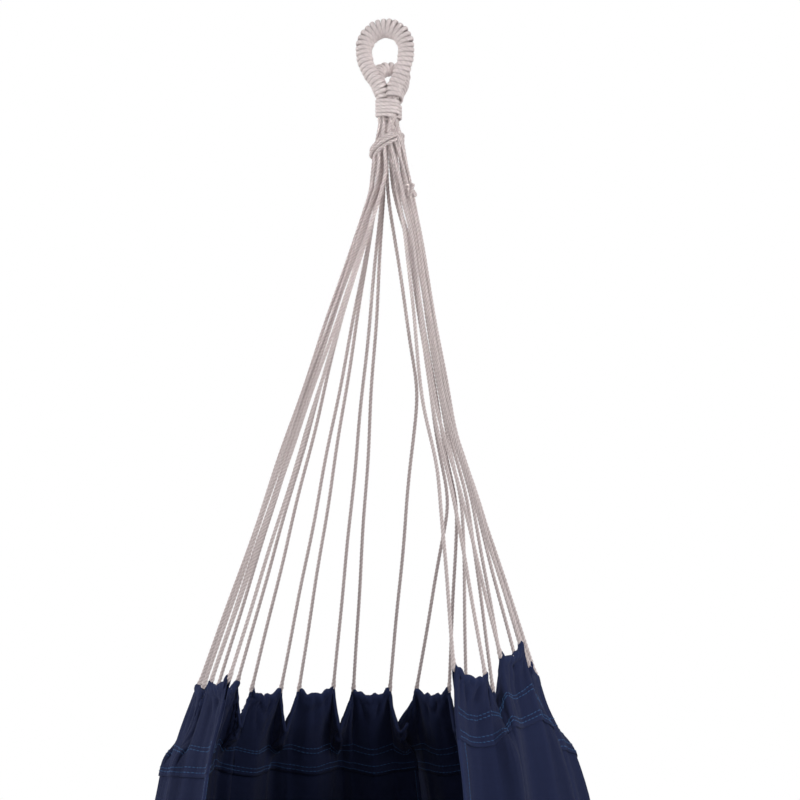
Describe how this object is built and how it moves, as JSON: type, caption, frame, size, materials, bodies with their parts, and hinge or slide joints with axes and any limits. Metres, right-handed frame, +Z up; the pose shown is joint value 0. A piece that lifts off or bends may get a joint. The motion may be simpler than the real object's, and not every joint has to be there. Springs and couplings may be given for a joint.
{
  "type": "hammock chair",
  "caption": "Hanging hammock chair: a navy cloth seat open at the front, carried by fans of cotton cord that gather under a hitch into whipped eyes for a hook.",
  "frame": {"origin": "inside top of the front eye, where the hook carries the chair", "axes": "+Z up, front opening towards -Y, +X to the sitter's left"},
  "size_m": [0.5767, 0.7756, 1.5947],
  "materials": {
    "cotton_cord": "matte twisted cotton",
    "navy_cloth": "matte woven cotton",
    "navy_casing": "matte woven cotton, folded double"
  },
  "bodies": {
    "eyes": {"front_eye_core": "cotton_cord", "front_eye_whipping": "cotton_cord", "front_neck_whipping": "cotton_cord", "rear_eye_core": "cotton_cord", "rear_eye_whipping": "cotton_cord", "rear_neck_whipping": "cotton_cord"},
    "hitch": {"gathered_cords": "cotton_cord", "harness_hitch": "cotton_cord"},
    "seat": {"left_cord_loop_1": "cotton_cord", "left_cord_loop_2": "cotton_cord", "left_cord_loop_3": "cotton_cord", "left_cord_loop_4": "cotton_cord", "left_cord_loop_5": "cotton_cord", "left_cord_loop_6": "cotton_cord", "left_cord_loop_7": "cotton_cord", "right_cord_loop_1": "cotton_cord", "right_cord_loop_2": "cotton_cord", "right_cord_loop_3": "cotton_cord", "right_cord_loop_4": "cotton_cord", "right_cord_loop_5": "cotton_cord", "right_cord_loop_6": "cotton_cord", "right_cord_loop_7": "cotton_cord", "right_cord_knot": "cotton_cord", "seat_cloth": "navy_cloth", "left_hem_casing": "navy_casing", "right_hem_casing": "navy_casing"}
  },
  "joints": [
    {"name": "swing", "type": "hinge", "parent": "eyes", "child": "hitch", "pos_m": [0, 0.013, -0.115], "axis": [1, 0, 0], "range_deg": [-18, 18]},
    {"name": "sway", "type": "hinge", "parent": "hitch", "child": "seat", "pos_m": [0.001, 0.013, -0.142], "axis": [0, 1, 0], "range_deg": [-15, 15]}
  ]
}
